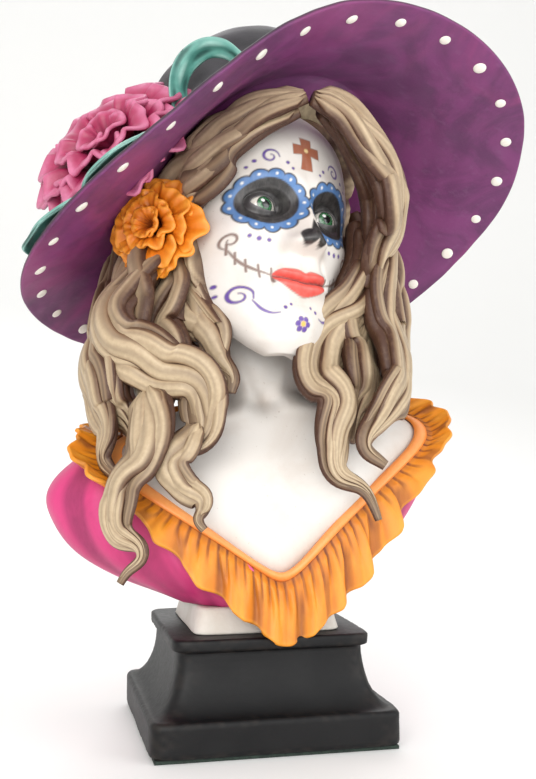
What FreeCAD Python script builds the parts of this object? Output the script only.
"""Papier-mache catrina bust with a wide hat, on a moulded plinth. Millimetres, +Z up, front towards -Y.

The origin is the centre of the plinth's underside. Hair, ruffles and petals are plain closed solids
of the true place and size of the modelled piece.
"""
import FreeCAD
import Part
import math
import os
import Sketcher
from FreeCAD import Placement, Rotation, Vector

PARTS_DIR = "parts"

# alias, value, what it is
SIZES = (
    ("base_width", 115.0, "side of the square plinth at its foot"),
    ("felt_thick", 1.5, "felt sheet under the plinth"),
    ("felt_inset", 2.0, "felt's set-back from the plinth's edge"),
    ("block_top", 17.0, "height of the plinth's foot block"),
    ("cove_top", 45.0, "height where the cove meets the cap"),
    ("cove_width", 87.0, "width of the plinth at the top of the cove"),
    ("cap_width", 92.5, "side of the square cap"),
    ("plinth_top", 50.5, "height of the cap's upper face"),
    ("cavity_width", 76.0, "inside width of the hollow plinth"),
    ("cavity_top", 44.5, "height of the cavity's ceiling"),
    ("board_thick", 4.0, "bottom board closing the plinth"),
    ("ballast_height", 26.0, "plaster ballast cast in the plinth"),
    ("post_radius", 7.0, "wooden armature post"),
    ("post_gap", 0.1, "space between the post and what it passes through"),
    ("post_top", 232.0, "top of the post, inside the head"),
    ("screw_radius", 2.0, "shank of the screw that holds the post"),
    ("screw_head_radius", 4.0, "head of that screw"),
    ("screw_length", 26.0, "length of that screw"),
    ("nut_washer_radius", 14.0, "steel washer under the plinth's ceiling"),
    ("nut_washer_thick", 1.5, "its thickness"),
    ("socle_width", 70.0, "white block under the bust, at its foot"),
    ("socle_top_width", 64.0, "the same at its top"),
    ("socle_height", 12.0, "its height"),
    ("chest_foot", 62.5, "underside of the chest shell"),
    ("chest_width", 184.0, "white chest across the shoulders"),
    ("chest_depth", 80.0, "white chest front to back"),
    ("shoulder_height", 128.0, "height of the widest part of the chest"),
    ("neck_foot", 164.0, "height where the neck rises from the chest"),
    ("neck_width", 42.0, "neck across"),
    ("neck_top", 206.0, "end of the neck inside the head"),
    ("shoulder_roll", 7.6, "degrees that the right shoulder is raised"),
    ("shell_wall", 3.0, "thickness of the moulded paper"),
    ("dress_gap", 0.3, "space between the chest and the dress"),
    ("dress_wall", 5.0, "thickness of the dress"),
    ("neckline_front", 74.0, "height of the neckline's lowest point"),
    ("neckline_side", 148.0, "height of the neckline on the shoulders"),
    ("neckline_back", 154.0, "height of the neckline at the back"),
    ("neckline_turn", 8.0, "angle of the neckline's lowest point from the front"),
    ("band_width", 5.0, "piping along the neckline"),
    ("ruffle_drop", 27.0, "ruffle's width in front"),
    ("ruffle_drop_side", 11.0, "ruffle's width on the shoulders"),
    ("ruffle_thick", 8.0, "depth of the ruffle's pleats"),
    ("head_x", 0.0, "head centre"),
    ("head_y", 9.0, "head centre"),
    ("head_z", 239.0, "head centre"),
    ("head_height", 138.0, "chin to crown"),
    ("head_width", 92.0, "head across"),
    ("head_depth", 112.0, "head front to back"),
    ("head_yaw", 18.0, "degrees that the head turns to its left"),
    ("head_pitch", 10.0, "degrees that the chin is raised"),
    ("head_roll", 7.0, "degrees that the head leans to its left"),
    ("eye_radius", 8.0, "eyeball"),
    ("eye_spacing", 34.0, "between the eyes' centres"),
    ("eye_depth", 37.0, "eye centre in front of the head's centre"),
    ("hair_thick", 5.0, "hair cap over the skull"),
    ("hat_x", 9.0, "centre of the hat's opening"),
    ("hat_y", 14.5, "centre of the hat's opening"),
    ("hat_z", 285.5, "centre of the hat's opening"),
    ("hat_lean_x", -0.348, "hat axis, sideways run for one of rise"),
    ("hat_lean_y", 0.739, "hat axis, backward run for one of rise"),
    ("brim_opening", 43.0, "radius of the brim's opening"),
    ("brim_radius", 122.0, "mean radius of the brim"),
    ("brim_drop", 39.0, "mean drop of the brim's edge"),
    ("brim_thick", 3.5, "thickness of the brim"),
    ("dot_radius", 2.9, "raised dot of paint"),
    ("dot_thick", 0.8, "its thickness"),
    ("dot_inset", 8.0, "dots' distance from the brim's edge"),
    ("crown_radius", 58.0, "hat crown at the brim"),
    ("crown_shoulder", 57.5, "hat crown at its shoulder"),
    ("crown_side", 28.0, "height of the crown's side"),
    ("crown_height", 66.5, "height of the crown"),
    ("crown_right", 2.7, "crown's centre beside the middle of the brim's edge"),
    ("crown_back", 10.7, "crown's centre behind the middle of the brim's edge"),
    ("hatband_height", 13.0, "ribbon round the crown"),
    ("ribbon_thick", 2.2, "thickness of the ribbon"),
    ("rose_radius", 45.0, "pink flower on the hat"),
    ("rose_height", 34.0, "its height"),
    ("marigold_radius", 24.0, "orange flower at the ear"),
    ("marigold_height", 19.0, "its height"),
)
DOT_COUNT = 28

doc = FreeCAD.newDocument("catrina_bust")
sheet = doc.addObject("Spreadsheet::Sheet", "sizes")
for row, (alias, value, note) in enumerate(SIZES, start=1):
    sheet.set(f"A{row}", alias)
    sheet.set(f"B{row}", str(value))
    sheet.set(f"C{row}", note)
    sheet.setAlias(f"B{row}", alias)
doc.recompute()
parts = []


def size(alias):
    """A driving dimension from the sheet."""
    return float(sheet.get(alias))


def keep(item, label, placement=None):
    """Names a finished sub-part, places it and lists it for export."""
    item.Label = label
    if placement is not None:
        item.Placement = placement
    parts.append(item)
    return item


def feature(label, shape, placement=None):
    """A sub-part whose shape is made with Part's own functions; a shift of its own is kept."""
    item = doc.addObject("Part::Feature", label)
    item.Shape = shape
    if placement is not None:
        placement = placement.multiply(shape.Placement)
    return keep(item, label, placement)


def bind(item, **expressions):
    """Ties properties of a document object to cells of the sheet."""
    for name, expression in expressions.items():
        item.setExpression(name.replace("__", "."), expression)
    return item


def primitive(kind, name, **expressions):
    """A Part primitive with its sizes bound to the sheet."""
    return bind(doc.addObject("Part::" + kind, name), **expressions)


def cut(name, base, tool_item):
    """The boolean difference of two document objects."""
    item = doc.addObject("Part::Cut", name)
    item.Base = base
    item.Tool = tool_item
    return item


# ---------------------------------------------------------------- sketches

def origin_plane(body, role):
    return next(f for f in body.Origin.OriginFeatures if f.Role == role)


def sketch_on(body, role, name):
    sketch = body.newObject("Sketcher::SketchObject", name)
    sketch.AttachmentSupport = [(origin_plane(body, role), "")]
    sketch.MapMode = "FlatFace"
    return sketch


def outline(sketch, points, arcs=()):
    """Closed outline through points; arcs maps a side's number to a point the side bows through."""
    arcs = dict(arcs)
    count = len(points)
    for i, start in enumerate(points):
        end = points[(i + 1) % count]
        if i in arcs:
            arc = Part.Arc(Vector(*start, 0), Vector(*arcs[i], 0), Vector(*end, 0))
            sketch.addGeometry(arc, False)
        else:
            sketch.addGeometry(Part.LineSegment(Vector(*start, 0), Vector(*end, 0)), False)


def end_at(sketch, side, point):
    """Which end of a side lies at a point: an arc's own start may be either one."""
    first = sketch.getPoint(side, 1)
    return 1 if math.hypot(first.x - point[0], first.y - point[1]) < 0.01 else 2


def hold(sketch, side, end, x_cell, y_cell):
    """Holds one end of a side, right of and above the origin, at a place given by the sheet."""
    spot = sketch.getPoint(side, end)
    for kind, cell, value in (("DistanceX", x_cell, spot.x), ("DistanceY", y_cell, spot.y)):
        name = f"{kind}_{side}_{end}"
        index = sketch.addConstraint(Sketcher.Constraint(kind, -1, 1, side, end, value))
        sketch.renameConstraint(index, name)
        sketch.setExpression(f"Constraints.{name}", cell)


def square_pad(label, width_cell, height_cell):
    """A body with one centred square padded upwards."""
    body = doc.addObject("PartDesign::Body", label)
    sketch = sketch_on(body, "XY_Plane", label + "_square")
    half = 10.0
    corners = [(-half, -half), (half, -half), (half, half), (-half, half)]
    outline(sketch, corners)
    for side in range(4):
        sketch.addConstraint(Sketcher.Constraint("Coincident", side, 2, (side + 1) % 4, 1))
        kind = "Horizontal" if side % 2 == 0 else "Vertical"
        sketch.addConstraint(Sketcher.Constraint(kind, side))
    sketch.addConstraint(Sketcher.Constraint("Symmetric", 0, 1, 2, 1, -1, 1))
    for side, kind in ((0, "DistanceX"), (1, "DistanceY")):
        index = sketch.addConstraint(
            Sketcher.Constraint(kind, side, 1, side, 2, 2 * half))
        sketch.renameConstraint(index, f"width_{side}")
        sketch.setExpression(f"Constraints.width_{side}", width_cell)
    pad = body.newObject("PartDesign::Pad", label + "_pad")
    pad.Profile = sketch
    pad.setExpression("Length", height_cell)
    return body


# ---------------------------------------------------------------- free forms

def closed_curve(points):
    """A smooth closed curve through points."""
    curve = Part.BSplineCurve()
    curve.interpolate(Points=[Vector(*p) for p in points], PeriodicFlag=True)
    return Part.Wire([curve.toShape()])


def turn(step, count):
    return 2 * math.pi * step / count


def oval(centre, half_x, half_y, roll=0.0, count=12):
    """A closed curve round a centre in a plane rolled about Y."""
    rolled = Rotation(Vector(0, 1, 0), -roll)
    points = []
    for step in range(count):
        angle = turn(step, count)
        flat = Vector(half_x * math.cos(angle), half_y * math.sin(angle), 0)
        points.append(Vector(*centre) + rolled.multVec(flat))
    return closed_curve(points)


def loft(wires):
    return Part.makeLoft(wires, True, False)


def sewn(faces):
    """One closed solid from faces that meet edge to edge."""
    shell = Part.makeShell(faces)
    shell.sewShape()
    solid = Part.makeSolid(shell)
    if solid.Volume < 0:
        solid.reverse()
    return solid


def skin(loops):
    """A smooth surface through closed loops."""
    return Part.makeLoft(loops, False, False).Faces


def strip(loop_a, loop_b):
    """A ruled surface between two closed loops."""
    return Part.makeRuledSurface(loop_a.Edges[0], loop_b.Edges[0]).Faces


def ring_solid(loops):
    """A ring whose section has one corner on each closed loop."""
    faces = []
    for i, edge in enumerate(loops):
        faces += strip(edge, loops[(i + 1) % len(loops)])
    return sewn(faces)


def wall_between(outer, inner):
    """A thin wall between an outer and an inner skin, open at both ends."""
    return sewn(skin(outer) + skin(inner) + strip(outer[0], inner[0])
                + strip(outer[-1], inner[-1]))


def biggest(shape):
    """The largest solid of a cut."""
    return max(shape.Solids, key=lambda s: s.Volume)


def clear_of(shape, obstacles):
    """What is left of a shape beside its neighbours; a cut that comes out wrong isn't taken."""
    for obstacle in obstacles:
        if not shape.BoundBox.intersect(obstacle.BoundBox):
            continue
        rest = shape.cut(obstacle)
        if not rest.Solids or not rest.isValid():
            continue
        left = biggest(rest)
        if 0.2 * shape.Volume < left.Volume <= 1.0001 * shape.Volume:
            shape = left
    return shape


def blend(table, key):
    """Smooth values between the rows of a table whose first column rises."""
    keys = [row[0] for row in table]
    key = min(max(key, keys[0]), keys[-1])
    i = min(sum(k <= key for k in keys), len(keys) - 1) - 1
    low, high = table[i], table[i + 1]
    before, after = table[max(i - 1, 0)], table[min(i + 2, len(table) - 1)]
    run = high[0] - low[0]
    t = (key - low[0]) / run
    values = []
    for c in range(1, len(low)):
        slope_low = (high[c] - before[c]) / (high[0] - before[0]) * run
        slope_high = (after[c] - low[c]) / (after[0] - low[0]) * run
        values.append((2 * t**3 - 3 * t**2 + 1) * low[c] + (t**3 - 2 * t**2 + t) * slope_low
                      + (3 * t**2 - 2 * t**3) * high[c] + (t**3 - t**2) * slope_high)
    return values


def tube(points, widths, thicks, outward, sections=14, count=10):
    """A tapering lock along a smooth line; outward is the side its thickness points to."""
    line = Part.BSplineCurve()
    line.interpolate(Points=[Vector(*p) for p in points])
    first, last = line.FirstParameter, line.LastParameter
    wires = []
    for step in range(sections + 1):
        share = step / sections
        at = first + (last - first) * share
        centre = line.value(at)
        along = line.tangent(at)[0]
        across = along.cross(outward).normalize()
        proud = across.cross(along).normalize()
        place = share * (len(widths) - 1)
        i = min(int(place), len(widths) - 2)
        part_way = place - i
        half_w = widths[i] + (widths[i + 1] - widths[i]) * part_way
        half_t = thicks[i] + (thicks[i + 1] - thicks[i]) * part_way
        wires.append(closed_curve([
            centre + across * (half_w * math.cos(turn(k, count)))
            + proud * (half_t * math.sin(turn(k, count))) for k in range(count)]))
    return loft(wires)


# ---------------------------------------------------------------- plinth

def plinth():
    """Felt, bottom board, hollow moulded shell, plaster ballast, and the fixings of the post."""
    felt = square_pad("base_felt", "sizes.base_width - 2 * sizes.felt_inset", "sizes.felt_thick")
    keep(felt, "base_felt")
    board = square_pad("board_slab", "sizes.cavity_width - 0.4", "sizes.board_thick")
    plain_hole = primitive("Cylinder", "board_hole", Radius="sizes.screw_radius + sizes.post_gap",
                           Height="sizes.board_thick")
    countersink = primitive(
        "Cone", "board_countersink", Radius1="sizes.screw_head_radius + sizes.post_gap",
        Radius2="sizes.screw_radius + sizes.post_gap", Height="sizes.screw_head_radius / 2")
    drilled = cut("bottom_board", cut("board_drilled", board, plain_hole), countersink)
    drilled.setExpression("Placement.Base.z", "sizes.felt_thick")
    keep(drilled, "bottom_board")

    profiles = [plinth_profile("plinth_profile_front", "XZ_Plane"),
                plinth_profile("plinth_profile_side", "YZ_Plane")]
    block = doc.addObject("Part::Common", "plinth_block")
    block.Base, block.Tool = profiles
    cavity = primitive("Box", "plinth_cavity", Length="sizes.cavity_width",
                       Width="sizes.cavity_width", Height="sizes.cavity_top - sizes.felt_thick")
    bind(cavity, Placement__Base__x="-sizes.cavity_width / 2",
         Placement__Base__y="-sizes.cavity_width / 2", Placement__Base__z="sizes.felt_thick")
    hollow = cut("plinth_hollow", block, cavity)
    keep(cut("plinth_shell", hollow, post_hole("plinth_post_hole")), "plinth_shell")

    plaster = primitive("Box", "plaster_block", Length="sizes.cavity_width - 0.4",
                        Width="sizes.cavity_width - 0.4", Height="sizes.ballast_height")
    bind(plaster, Placement__Base__x="0.2 - sizes.cavity_width / 2",
         Placement__Base__y="0.2 - sizes.cavity_width / 2",
         Placement__Base__z="sizes.felt_thick + sizes.board_thick")
    keep(cut("plaster_ballast", plaster, post_hole("ballast_post_hole")), "plaster_ballast")


def plinth_profile(name, role):
    """The plinth's moulded side view padded across its width: foot block, cove and cap."""
    body = doc.addObject("PartDesign::Body", name)
    sketch = sketch_on(body, role, name + "_sketch")
    foot, cove, cap = (size(c) / 2 for c in ("base_width", "cove_width", "cap_width"))
    low, block_top = size("felt_thick"), size("block_top")
    cove_top, top = size("cove_top"), size("plinth_top")
    run, rise = foot - cove, cove_top - block_top
    radius = (run * run + rise * rise) / (2 * run)
    half_turn = math.asin(rise / radius) / 2
    middle = (cove + radius - radius * math.cos(half_turn),
              cove_top - radius * math.sin(half_turn))
    right = [(foot, low), (foot, block_top), (cove, cove_top), (cap, cove_top), (cap, top)]
    left = [(-x, z) for x, z in reversed(right)]
    corners = right + left
    outline(sketch, corners, {1: middle, 7: (-middle[0], middle[1])})
    for side in range(10):
        after = (side + 1) % 10
        shared = corners[after]
        sketch.addConstraint(Sketcher.Constraint(
            "Coincident", side, end_at(sketch, side, shared), after, end_at(sketch, after, shared)))
    cells = (("base_width", "felt_thick"), ("base_width", "block_top"),
             ("cove_width", "cove_top"), ("cap_width", "cove_top"), ("cap_width", "plinth_top"))
    for side, (x_cell, y_cell) in enumerate(cells):
        near, mirrored = end_at(sketch, side, corners[side]), 9 - side
        hold(sketch, side, near, f"sizes.{x_cell} / 2", f"sizes.{y_cell}")
        far = end_at(sketch, mirrored, corners[mirrored])
        sketch.addConstraint(Sketcher.Constraint("Symmetric", side, near, mirrored, far, -2))
    pad = body.newObject("PartDesign::Pad", name + "_pad")
    pad.Profile = sketch
    pad.Midplane = True
    pad.setExpression("Length", "sizes.base_width")
    return body


def post_hole(name):
    """A bore all the way up for the armature post."""
    return primitive("Cylinder", name, Radius="sizes.post_radius + sizes.post_gap",
                     Height="sizes.post_top")


def post():
    """The wooden post that stands in the plinth and carries the bust, its screw and washer."""
    rod = primitive("Cylinder", "post_rod", Radius="sizes.post_radius",
                    Height="sizes.post_top - sizes.felt_thick - sizes.board_thick")
    pilot = primitive("Cylinder", "post_pilot", Radius="sizes.screw_radius",
                      Height="sizes.screw_length - sizes.board_thick")
    drilled = cut("armature_post", rod, pilot)
    drilled.setExpression("Placement.Base.z", "sizes.felt_thick + sizes.board_thick")
    keep(drilled, "armature_post")

    shank = primitive("Cylinder", "screw_shank", Radius="sizes.screw_radius",
                      Height="sizes.screw_length")
    head = primitive("Cone", "screw_head", Radius1="sizes.screw_head_radius",
                     Radius2="sizes.screw_radius", Height="sizes.screw_head_radius / 2")
    screw = doc.addObject("Part::Fuse", "post_screw")
    screw.Base, screw.Tool = shank, head
    screw.setExpression("Placement.Base.z", "sizes.felt_thick")
    keep(screw, "post_screw")

    disc = primitive("Cylinder", "washer_disc", Radius="sizes.nut_washer_radius",
                     Height="sizes.nut_washer_thick")
    disc.setExpression("Placement.Base.z", "sizes.cavity_top - sizes.nut_washer_thick")
    keep(cut("ceiling_washer", disc, post_hole("washer_hole")), "ceiling_washer")


# ---------------------------------------------------------------- bust

def bust_table(half_width, half_depth, foot):
    """Rows of height, centre x, centre y, half width, half depth and roll, foot to neck."""
    roll, neck = size("shoulder_roll"), size("neck_width") / 2
    high, throat, top = size("shoulder_height"), size("neck_foot"), size("neck_top")
    rise = high - foot
    return (
        (foot, 0, 0, 0.37 * half_width, 0.80 * half_depth, 0),
        (foot + 0.24 * rise, -1, -1, 0.64 * half_width, 0.94 * half_depth, 0.6 * roll),
        (foot + 0.50 * rise, -3, -1, 0.85 * half_width, half_depth, 0.9 * roll),
        (foot + 0.77 * rise, -4, -1, 0.97 * half_width, half_depth, roll),
        (high, -4, 0, half_width, 0.92 * half_depth, roll),
        (high + 0.36 * (throat - high), -4, 1, 0.86 * half_width, 0.77 * half_depth, roll),
        (high + 0.66 * (throat - high), -3, 2, 0.54 * half_width, 0.66 * half_depth, 0.8 * roll),
        (high + 0.84 * (throat - high), -1, 4, 0.33 * half_width, 0.59 * half_depth, 0.5 * roll),
        (throat + 2, 1, 5, 1.06 * neck, 1.06 * neck, 0.3 * roll),
        (top, 2, 9, neck, neck, 0),
    )


def chest_table(proud=0.0):
    return bust_table(size("chest_width") / 2 + proud, size("chest_depth") / 2 + proud,
                      size("chest_foot"))


def around(table, angle, height, proud=0.0):
    """The point on a bust's surface at an angle from the front, on the section of that height."""
    x, y, half_x, half_y, roll = blend(table, height)
    half_x, half_y = half_x + proud, half_y + proud
    reach = 1 / math.hypot(math.sin(angle) / half_x, math.cos(angle) / half_y)
    flat = Vector(reach * math.sin(angle), -reach * math.cos(angle), 0)
    return Vector(x, y, height) + Rotation(Vector(0, 1, 0), -roll).multVec(flat)


def neckline_bearing(angle):
    """An angle from the neckline's lowest point, between minus and plus half a turn."""
    bearing = angle - math.radians(size("neckline_turn"))
    return (bearing + math.pi) % (2 * math.pi) - math.pi


def neckline(angle):
    """Section height of the neckline: a soft V in front, steeper to the shoulders, level behind."""
    front, side, back = (size("neckline_" + w) for w in ("front", "side", "back"))
    share = abs(neckline_bearing(angle)) / (math.pi / 2)
    soft, straight = 0.12, 0.82
    if share <= 1:
        rise = (math.hypot(share, soft) - soft) / (math.hypot(1, soft) - soft)
        return front + (side - front) * (straight * rise + (1 - straight) * share ** 3)
    return side + (back - side) * math.sin((share - 1) * math.pi / 2)


def loop(point, count=48):
    """A closed curve through a point function of the angle from the front."""
    return closed_curve([point(turn(k, count)) for k in range(count)])


def chest_loops(table, proud, low, high, count=15):
    """Closed curves round the bust, evenly spaced between two heights."""
    heights = [low + (high - low) * k / (count - 1) for k in range(count)]
    return [loop(lambda a, z=z: around(table, a, z, proud)) for z in heights]


def dress_loops(table, proud, count=8):
    """Closed curves round the dress, from its foot to the neckline."""
    foot = size("chest_foot")
    shares = [k / (count - 1) for k in range(count)]
    return [loop(lambda a, s=s: around(table, a, foot + (neckline(a) - foot) * s, proud))
            for s in shares]


def bust():
    """Socle, chest and neck shell, dress, piping and ruffle. Returns what the hair must clear."""
    socle = Part.makeLoft(
        [square_wire(size("socle_width"), size("plinth_top")),
         square_wire(size("socle_top_width"), size("plinth_top") + size("socle_height"))],
        True, True)
    bore = Part.makeCylinder(size("post_radius") + size("post_gap"), size("post_top"))
    feature("socle_block", socle.cut(bore))

    table = chest_table()
    wall, foot, top = size("shell_wall"), size("chest_foot"), size("neck_top")
    outer = chest_loops(table, 0, foot, top)
    feature("chest_and_neck_shell", wall_between(outer, chest_loops(table, -wall, foot, top)))

    gap, dress_wall = size("dress_gap"), size("dress_wall")
    dress = wall_between(dress_loops(table, gap + dress_wall), dress_loops(table, gap))
    feature("dress_shell", dress)

    band = size("band_width")
    piping = ring_solid([
        loop(lambda a: around(table, a, neckline(a), gap)),
        loop(lambda a: around(table, a, neckline(a), gap + band)),
        loop(lambda a: around(table, a, neckline(a) + band, gap + 0.7 * band)),
        loop(lambda a: around(table, a, neckline(a) + band, gap)),
    ])
    feature("neckline_piping", piping)
    thick = size("ruffle_thick")
    start = 2 * gap + dress_wall
    ruffle = ring_solid([ruffle_edge(table, share, start + proud) for share, proud in (
        (0.0, 0.0), (0.0, 0.6 * thick), (0.5, 0.8 * thick), (1.0, thick),
        (1.0, 0.3 * thick), (0.5, 0.15 * thick))])
    feature("ruffle_collar", ruffle)
    return [loft(outer), dress, piping, ruffle]


def ruffle_edge(table, share, proud):
    """A loop of the ruffle: share 0 lies at the neckline, share 1 is the free edge below it."""
    side, front, foot, soft = size("ruffle_drop_side"), size("ruffle_drop"), table[0][0], 0.15

    def point(angle):
        ahead = math.cos(neckline_bearing(angle))
        ahead = (ahead + math.hypot(ahead, soft)) / (1 + math.hypot(1, soft))
        drop = (side + (front - side) * ahead * (2 - ahead)) * share
        height = neckline(angle) - drop
        upper = around(table, angle, neckline(angle), proud)
        lower = around(table, angle, max(height, foot), proud)
        hang = max(math.hypot(upper.x, upper.y) / math.hypot(lower.x, lower.y), 1.0)
        flare = hang * (1 + 0.03 * share)
        return Vector(lower.x * flare, lower.y * flare, lower.z + min(height - foot, 0))
    return loop(point)


def square_wire(width, height):
    half = width / 2
    corners = [(-half, -half), (half, -half), (half, half), (-half, half), (-half, -half)]
    return Part.makePolygon([Vector(x, y, height) for x, y in corners])


# ---------------------------------------------------------------- head

def head_placement():
    turned = (Rotation(Vector(0, 0, 1), size("head_yaw"))
              .multiply(Rotation(Vector(1, 0, 0), -size("head_pitch")))
              .multiply(Rotation(Vector(0, 1, 0), size("head_roll"))))
    return Placement(Vector(size("head_x"), size("head_y"), size("head_z")), turned)


# height, centre y, half width and half depth, as shares of the head's height, width and depth
HEAD_FORM = (
    (-0.500, -0.300, 0.10, 0.07),
    (-0.460, -0.275, 0.20, 0.13),
    (-0.360, -0.195, 0.33, 0.24),
    (-0.220, -0.075, 0.42, 0.37),
    (-0.040, 0.000, 0.475, 0.465),
    (0.140, 0.018, 0.50, 0.50),
    (0.310, 0.027, 0.46, 0.455),
    (0.435, 0.036, 0.305, 0.305),
    (0.500, 0.045, 0.10, 0.10),
)


def head_loft(proud=0.0, rows=HEAD_FORM):
    """The head's egg form, in the head's own frame: face towards -Y, crown up."""
    high, wide, deep = size("head_height"), size("head_width"), size("head_depth")
    wires = []
    for z, y, rx, ry in rows:
        stretch = 1 + 2 * proud / high
        wires.append(oval((0, y * deep, z * high * stretch), rx * wide + proud, ry * deep + proud))
    return loft(wires)


def neck_plug():
    """The neck where it enters the head, a little larger all round."""
    table = chest_table()
    top = size("neck_top")
    sections = []
    for height in (top - 30, top - 15, top + 0.5):
        x, y, rx, ry, roll = blend(table, height)
        sections.append(oval((x, y, height), rx + 0.2, ry + 0.2, roll))
    return loft(sections)


def nose():
    high, deep = size("head_height"), size("head_depth")
    rows = ((-0.215, -0.440, 8.0, 5.0), (-0.165, -0.475, 7.0, 7.5),
            (-0.040, -0.455, 4.0, 5.0), (0.040, -0.440, 3.0, 3.0))
    return loft([oval((0, y * deep, z * high), rx, ry) for z, y, rx, ry in rows])


def head():
    """Face mask, back of the skull and eyes. Returns the solid head, placed."""
    place = head_placement()
    trim = above_brim().transformed(hat_placement().Matrix)
    trim = trim.transformed(place.inverse().Matrix)
    outer = head_loft()
    outer_with_nose = outer.fuse(nose())
    hollow = head_loft(-size("shell_wall") * 1.2)
    wide, deep, high = size("head_width"), size("head_depth"), size("head_height")
    front = Part.makeBox(2 * wide, deep, 2 * high, Vector(-wide, -deep, -high))
    shell = outer_with_nose.cut(hollow).cut(neck_plug().transformed(place.inverse().Matrix))
    shell = biggest(shell.cut(trim))
    mask = shell.common(front)
    gap = size("post_gap")
    for side in (-1, 1):
        centre = Vector(side * size("eye_spacing") / 2, -size("eye_depth"), 0)
        socket = Part.makeSphere(size("eye_radius") + gap, centre)
        opening = Part.makeCylinder(0.75 * size("eye_radius"), deep, centre, Vector(0, -1, 0))
        mask = mask.cut(socket).cut(opening)
        eye = primitive("Sphere", "eye_ball", Radius="sizes.eye_radius")
        at = place.multVec(centre)
        keep(eye, "eye_right" if side < 0 else "eye_left", Placement(at, place.Rotation))
    feature("face_mask", biggest(mask), place)
    feature("skull_back", biggest(shell.cut(front)), place)
    return biggest(outer_with_nose.cut(trim)).transformed(place.Matrix)


def hair_cap(obstacles):
    """Low hair over the skull, open at the face."""
    place = head_placement()
    proud = size("hair_thick")
    wide, deep, high = size("head_width"), size("head_depth"), size("head_height")
    lining = head_loft(0.2)
    face_gap = Part.makeBox(2 * wide, deep, 2 * high, Vector(-wide, -deep - 6, -2 * high))
    face_gap.rotate(Vector(0, -6, 0), Vector(1, 0, 0), -22)
    face_gap.translate(Vector(0, 0, 0.30 * high))
    nape = Part.makeBox(2 * wide, 2 * deep, high, Vector(-wide, -deep, -1.34 * high))
    trim = above_brim().transformed(hat_placement().Matrix)
    cap = head_loft(proud).cut(lining).cut(face_gap).cut(nape)
    cap = biggest(cap.transformed(place.Matrix).cut(trim))
    feature("hair_cap", clear_of(cap, obstacles))


# ---------------------------------------------------------------- hat

def hat_placement():
    """The hat's own frame: +Z is its axis, -Y its front, the origin in the brim's opening."""
    axis = Vector(size("hat_lean_x"), size("hat_lean_y"), 1).normalize()
    across = Vector(axis.z, 0, -axis.x).normalize()
    rotation = Rotation(across, axis.cross(across), axis, "ZXY")
    return Placement(Vector(size("hat_x"), size("hat_y"), size("hat_z")), rotation)


def brim_reach(angle):
    """Radius and drop of the brim's edge at an angle from the front, positive to the right."""
    cos, sin = math.cos, math.sin
    radius = size("brim_radius") - 10 * cos(angle) - 6 * sin(angle) - 11 * cos(2 * angle)
    drop = (size("brim_drop") - 2 * cos(2 * angle) - 14 * sin(2 * angle)
            - 6 * cos(3 * angle) - 3 * sin(3 * angle))
    return radius, drop


def on_hat(angle, radius, height):
    return Vector(radius * math.sin(angle), -radius * math.cos(angle), height)


def on_crown(angle, radius, height):
    """A point at a radius from the crown's own axis."""
    return on_hat(angle, radius, height) + Vector(size("crown_right"), size("crown_back"), 0)


def on_brim(angle, share, up=0.0):
    """A point of the brim's underside, from the crown at share 0 to the edge at share 1."""
    edge, drop = brim_reach(angle)
    sag = drop * share * (1.3 - 0.3 * share)
    inner = on_crown(angle, size("crown_radius"), 0)
    outer = on_hat(angle, edge, 0)
    return inner + (outer - inner) * share + Vector(0, 0, up - sag)


BRIM_SHARES = (0.12, 0.35, 0.6, 0.82, 1.0)


def brim_underside():
    return [loop(lambda a, s=s: on_brim(a, s)) for s in BRIM_SHARES]


def seat_ring(radius, height):
    return loop(lambda a: on_crown(a, radius, height))


def above_brim():
    """Everything over the brim's underside, in the hat's frame."""
    under, seat = brim_underside(), seat_ring(size("crown_radius") + 0.5, 0)
    lid = loop(lambda a: on_brim(a, 1.0, 2 * size("crown_height")))
    return sewn(skin(under) + strip(seat, under[0]) + strip(under[-1], lid)
                + [Part.Face(seat), Part.makeFilledFace([lid.Edges[0]])])


def hat():
    """Brim, crown, core, ribbon and painted dots. Returns the solid pieces, placed."""
    place = hat_placement()
    thick = size("brim_thick")
    opening, seat = size("brim_opening"), size("crown_radius") + 0.5
    under = brim_underside()
    over = [loop(lambda a, s=s: on_brim(a, s, thick * (1.15 - 0.35 * s))) for s in BRIM_SHARES]
    seats = [seat_ring(r, z) for r, z in ((opening, 0), (seat, 0), (opening, thick), (seat, thick))]
    faces = (skin(under) + skin(over) + strip(under[-1], over[-1]) + strip(seats[0], seats[1])
             + strip(seats[1], under[0]) + strip(seats[3], over[0])
             + strip(seats[2], seats[3]) + strip(seats[0], seats[2]))
    brim = sewn(faces)
    feature("hat_brim", brim, place)

    foot, shoulder = size("crown_radius"), size("crown_shoulder")
    side, high, wall = size("crown_side"), size("crown_height"), size("shell_wall")
    shift = Vector(size("crown_right"), size("crown_back"), 0)
    shell = dome(foot, shoulder, side, high, thick)
    lining = dome(foot - wall, shoulder - wall, side, high - wall, thick)
    feature("hat_crown", biggest(shell.cut(lining)).translated(shift), place)
    inside = wall + 0.2
    core = dome(foot - inside, shoulder - inside, side, high - inside, thick).fuse(
        Part.makeCylinder(opening - 0.2, 2 * thick))
    feature("crown_core", biggest(core).translated(shift), place)

    ribbon, band_top, gap = size("ribbon_thick"), size("hatband_height"), 0.1
    low, top_in = foot + gap, foot + gap - (foot - shoulder) / side * band_top
    band = turned([(low, thick + 0.5), (low + ribbon, thick + 0.5),
                   (top_in + ribbon, thick + band_top), (top_in, thick + band_top)])
    band = biggest(band.translated(shift).cut(brim))
    feature("hat_ribbon_band", band, place)

    dots = [dot(angle) for angle in even_turns(DOT_COUNT)]
    feature("brim_dots", Part.makeCompound(dots), place)
    return [s.transformed(place.Matrix) for s in (brim, shell.translated(shift), band)]


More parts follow.
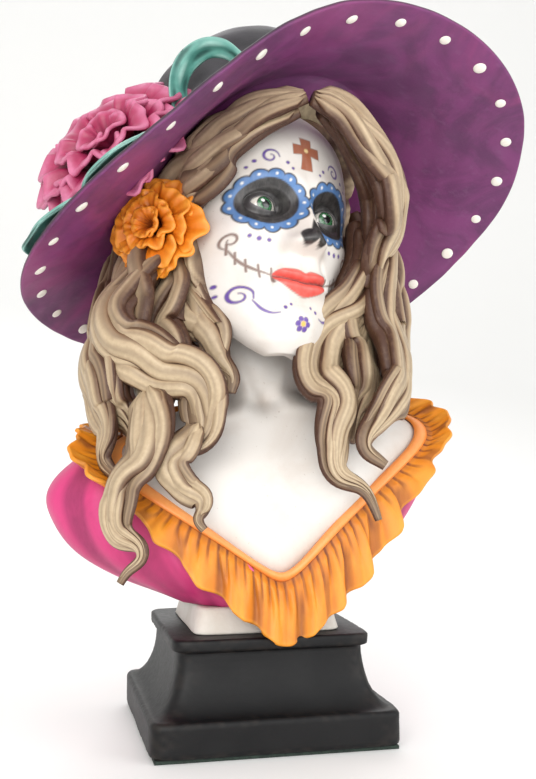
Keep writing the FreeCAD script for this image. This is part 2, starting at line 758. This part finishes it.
def dome(foot, shoulder, side, high, base):
    """A solid of revolution: leaning side, round shoulder and low domed top."""
    bend = (high - side) * 0.62
    low_left, low_right = Vector(0, 0, base), Vector(foot, 0, base)
    edge, top = Vector(shoulder, 0, base + side), Vector(0, 0, base + high)
    curve = Part.BezierCurve()
    curve.setPoles([edge, edge + Vector(-0.02 * shoulder, 0, bend),
                    top + Vector(0.72 * shoulder, 0, 0), top])
    profile = Part.Wire([Part.makeLine(low_left, low_right), Part.makeLine(low_right, edge),
                         curve.toShape(), Part.makeLine(top, low_left)])
    return Part.Face(profile).revolve(Vector(), Vector(0, 0, 1), 360)


def turned(profile):
    """A ring of revolution about Z from its section's radius and height corners."""
    corners = [Vector(r, 0, z) for r, z in profile]
    return Part.Face(Part.makePolygon(corners + corners[:1])).revolve(
        Vector(), Vector(0, 0, 1), 360)


def even_turns(count):
    """Angles that divide the brim's edge into equal lengths."""
    steps = 360
    ring = [on_brim(turn(k, steps), 1) for k in range(steps + 1)]
    run = [0.0]
    for a, b in zip(ring, ring[1:]):
        run.append(run[-1] + a.distanceToPoint(b))
    first = 0.35
    angles, at = [], 0
    for k in range(count):
        want = run[-1] * (k + first) / count
        while run[at + 1] < want:
            at += 1
        angles.append(turn(at + (want - run[at]) / (run[at + 1] - run[at]), steps))
    return angles


def dot(angle):
    """A flat round of paint standing on the brim's underside."""
    edge, _ = brim_reach(angle)
    share = 1 - size("dot_inset") / (edge - size("crown_radius"))
    step = 0.01
    centre = on_brim(angle, share)
    out = on_brim(angle, share + step) - on_brim(angle, share - step)
    along = on_brim(angle + step, share) - on_brim(angle - step, share)
    normal = out.cross(along).normalize()
    if normal.z > 0:
        normal = normal * -1
    return Part.makeCylinder(size("dot_radius"), size("dot_thick"), centre + normal * 0.12, normal)


# ---------------------------------------------------------------- flowers and ribbons

def flower(name, centre, axis, radius, height, petals, obstacles):
    """Rows of ruffled petals round a heart, on a small cup."""
    axis = Vector(*axis).normalize()
    place = Placement(Vector(*centre), Rotation(Vector(0, 0, 1), axis))
    rows = (("outer_petals", 0.52, 1.00, 0.00, 0.62), ("middle_petals", 0.34, 0.74, 0.10, 0.86),
            ("inner_petals", 0.17, 0.46, 0.14, 0.98))
    wall = 0.12 * radius
    local = [o.transformed(place.inverse().Matrix) for o in obstacles]
    cup = Part.makeCone(0.20 * radius, 0.52 * radius, 0.24 * height,
                        Vector(0, 0, -0.28 * height), Vector(0, 0, 1))
    feature(name + "_cup", clear_of(cup, local), place)
    for row, (label, foot, rim, low, high) in enumerate(rows):
        def wavy(reach, z, wave, row=row):
            return loop(lambda a: on_hat(a, radius * reach * (1 + wave * math.cos(
                petals * a + row)), height * z), 72)
        ring = ring_solid([wavy(foot, low, 0.0), wavy(foot - 0.14, low, 0.0),
                           wavy(rim - wall / radius, high, 0.05), wavy(rim, high, 0.05)])
        feature(f"{name}_{label}", clear_of(ring, local), place)
    heart = loft([oval((0, 0, 0.16 * height), 0.10 * radius, 0.10 * radius),
                  oval((0, 0, 0.6 * height), 0.17 * radius, 0.17 * radius),
                  oval((0, 0, height), 0.26 * radius, 0.26 * radius)])
    feature(name + "_heart", clear_of(heart, local), place)


def flowers_and_ribbons(obstacles):
    """The flower and looped ribbon on the hat, and the flower at the ear."""
    hat_solids, head_solids = obstacles
    flower("hat_flower", (-58.5, 13.5, 272.5), (-0.62, -0.52, 0.58), size("rose_radius"),
           size("rose_height"), 11, hat_solids)
    flower("ear_flower", (-47, -14, 239), (-0.62, -0.76, 0.10), size("marigold_radius"),
           size("marigold_height"), 9, head_solids)

    place = hat_placement()
    hat_local = [o.transformed(place.inverse().Matrix) for o in hat_solids]
    loop_points = [on_crown(math.radians(a), r, z) for a, r, z in (
        (-42, 61.5, 12), (-37.5, 65, 15.5), (-32, 67, 19), (-25, 68, 23), (-17.5, 68, 23),
        (-12, 67, 19), (-9, 64, 14))]
    routes = {
        "ribbon_tail_front": ((-40, 0.62, 5), (-45, 0.78, 8), (-50, 0.88, 8), (-55, 0.88, 8.5),
                              (-60, 0.84, 7)),
        "ribbon_tail_left": ((-62, 0.80, 6), (-67, 0.91, 7.5), (-72, 0.95, 7.5),
                             (-77, 0.95, 7.5), (-82, 0.88, 6)),
    }
    strips = {"ribbon_loop": tube(loop_points, [5, 5, 4], [1.2, 1.2, 1.2],
                                  on_hat(math.radians(-24), 1, 0))}
    for label, route in routes.items():
        points = [on_brim(math.radians(a), s, up) for a, s, up in route]
        strips[label] = tube(points, [6.5, 6.5, 5], [1.3, 1.3, 1.3], Vector(0, 0, 1))
    for label, ribbon in strips.items():
        feature(label, clear_of(ribbon, hat_local), place)


# ---------------------------------------------------------------- hair

# name, points from root to tip, half widths along the lock
FRONT_LOCKS = (
    ("hair_part_left", ((14, -46, 296), (0, -44, 291), (-13, -36, 285), (-25, -27, 277),
                        (-35, -14, 268)), (5, 8, 8, 6)),
    ("hair_part_right", ((18, -46, 295), (33, -43, 287), (47, -38, 273), (57, -32, 256),
                         (60, -26, 243), (56, -19, 231)), (5, 10, 11, 9)),
    ("hair_lock_left_front", ((-60, -16, 212), (-66, -22, 200), (-66, -29, 188), (-58, -37, 176),
                              (-48, -45, 163), (-43, -50, 150), (-44, -53, 138), (-48, -54, 127)),
     (10, 14, 13, 12, 8, 3)),
    ("hair_lock_left_inner", ((-38, -18, 212), (-36, -26, 200), (-31, -35, 187), (-24, -43, 173),
                              (-20, -48, 160)), (5, 7, 6, 3)),
    ("hair_lock_left_outer", ((-66, 6, 200), (-76, -2, 182), (-81, -14, 164), (-80, -26, 148),
                              (-78, -34, 136), (-74, -42, 124)), (9, 10, 9, 7, 3)),
    ("hair_lock_left_long", ((-62, -46, 154), (-65, -54, 141), (-69, -59, 127), (-71, -62, 113),
                             (-69, -65, 100), (-66, -67, 88), (-67, -67, 79)), (8, 10, 8, 5, 2)),
    ("hair_lock_left_curl", ((-35, -57, 138), (-41, -61, 128), (-40, -64, 119), (-36, -66, 111),
                             (-37, -67, 103)), (4, 5, 4, 2)),
    ("hair_lock_right_inner", ((42, -30, 214), (34, -36, 198), (28, -42, 182), (27, -48, 167),
                               (29, -53, 153), (28, -57, 140), (31, -60, 127), (37, -63, 116),
                               (42, -65, 105)), (8, 12, 11, 9, 6, 3)),
    ("hair_lock_right_outer", ((66, -18, 224), (64, -24, 208), (62, -32, 190), (60, -40, 173),
                               (57, -49, 157), (52, -55, 143), (52, -59, 131)),
     (9, 12, 11, 9, 7, 3)),
)
BACK_LOCKS = (
    ("hair_back_left", ((-34, 46, 262), (-44, 53, 235), (-50, 52, 205), (-46, 54, 178),
                        (-50, 58, 152), (-46, 60, 134)), (10, 16, 16, 13, 5)),
    ("hair_back_middle", ((2, 64, 262), (2, 66, 235), (-3, 62, 205), (3, 60, 178),
                          (-2, 62, 150), (2, 62, 128)), (11, 17, 17, 14, 5)),
    ("hair_back_right", ((40, 46, 262), (50, 50, 235), (52, 50, 205), (48, 54, 178),
                         (51, 58, 156), (47, 60, 138)), (10, 16, 16, 13, 5)),
)
SIDE_LOCKS = (
    ("hair_side_left", ((-48, 20, 258), (-60, 26, 232), (-68, 26, 205), (-74, 24, 180),
                        (-72, 28, 158)), (9, 14, 14, 6)),
    ("hair_side_right", ((58, 22, 258), (68, 24, 232), (72, 24, 205), (72, 22, 182),
                         (70, 26, 166)), (9, 13, 13, 6)),
)


def hair(obstacles):
    """Modelled locks round the face, over the shoulders and down the back."""
    taken = list(obstacles)
    for name, points, widths in FRONT_LOCKS + SIDE_LOCKS + BACK_LOCKS:
        middle = Vector(*points[len(points) // 2])
        outward = Vector(middle.x - size("head_x"), middle.y - size("head_y"), 0).normalize()
        lock = tube(points, widths, [max(0.55 * w, 1.5) for w in widths], outward)
        lock = clear_of(lock, taken)
        feature(name, lock)
        taken.append(lock)


# ---------------------------------------------------------------- build

def build():
    plinth()
    post()
    head_outer = head()
    bust_solids = bust()
    hat_solids = hat()
    hair_cap(bust_solids)
    doc.recompute()
    cap = parts[-1].Shape
    flowers_and_ribbons((hat_solids, [head_outer, cap]))
    flower_solids = [p.Shape for p in parts if "flower" in p.Label]
    hair(bust_solids + [head_outer, cap, hat_solids[0]] + flower_solids)


def check_and_write():
    """Stops on any failed object; writes every sub-part's shape."""
    doc.recompute()
    for item in doc.Objects:
        if "Invalid" in item.State or "Error" in item.State:
            raise RuntimeError(f"{item.Name}: {item.State}")
    for item in parts:
        shape = item.Shape
        if shape.isNull() or not shape.isValid() or not shape.Solids:
            raise RuntimeError(f"{item.Label}: empty or not valid")
        box = shape.BoundBox
        print(f"{item.Label:24s} {len(shape.Solids):3d} solid(s) {shape.Volume / 1000:9.2f} cm3  "
              f"x {box.XMin:7.1f} {box.XMax:7.1f}  y {box.YMin:7.1f} {box.YMax:7.1f}  "
              f"z {box.ZMin:7.1f} {box.ZMax:7.1f}")
    os.makedirs(PARTS_DIR, exist_ok=True)
    for item in parts:
        item.Shape.exportStep(os.path.join(PARTS_DIR, item.Label + ".step"))
    print(len(parts), "sub-parts")


build()
check_and_write()
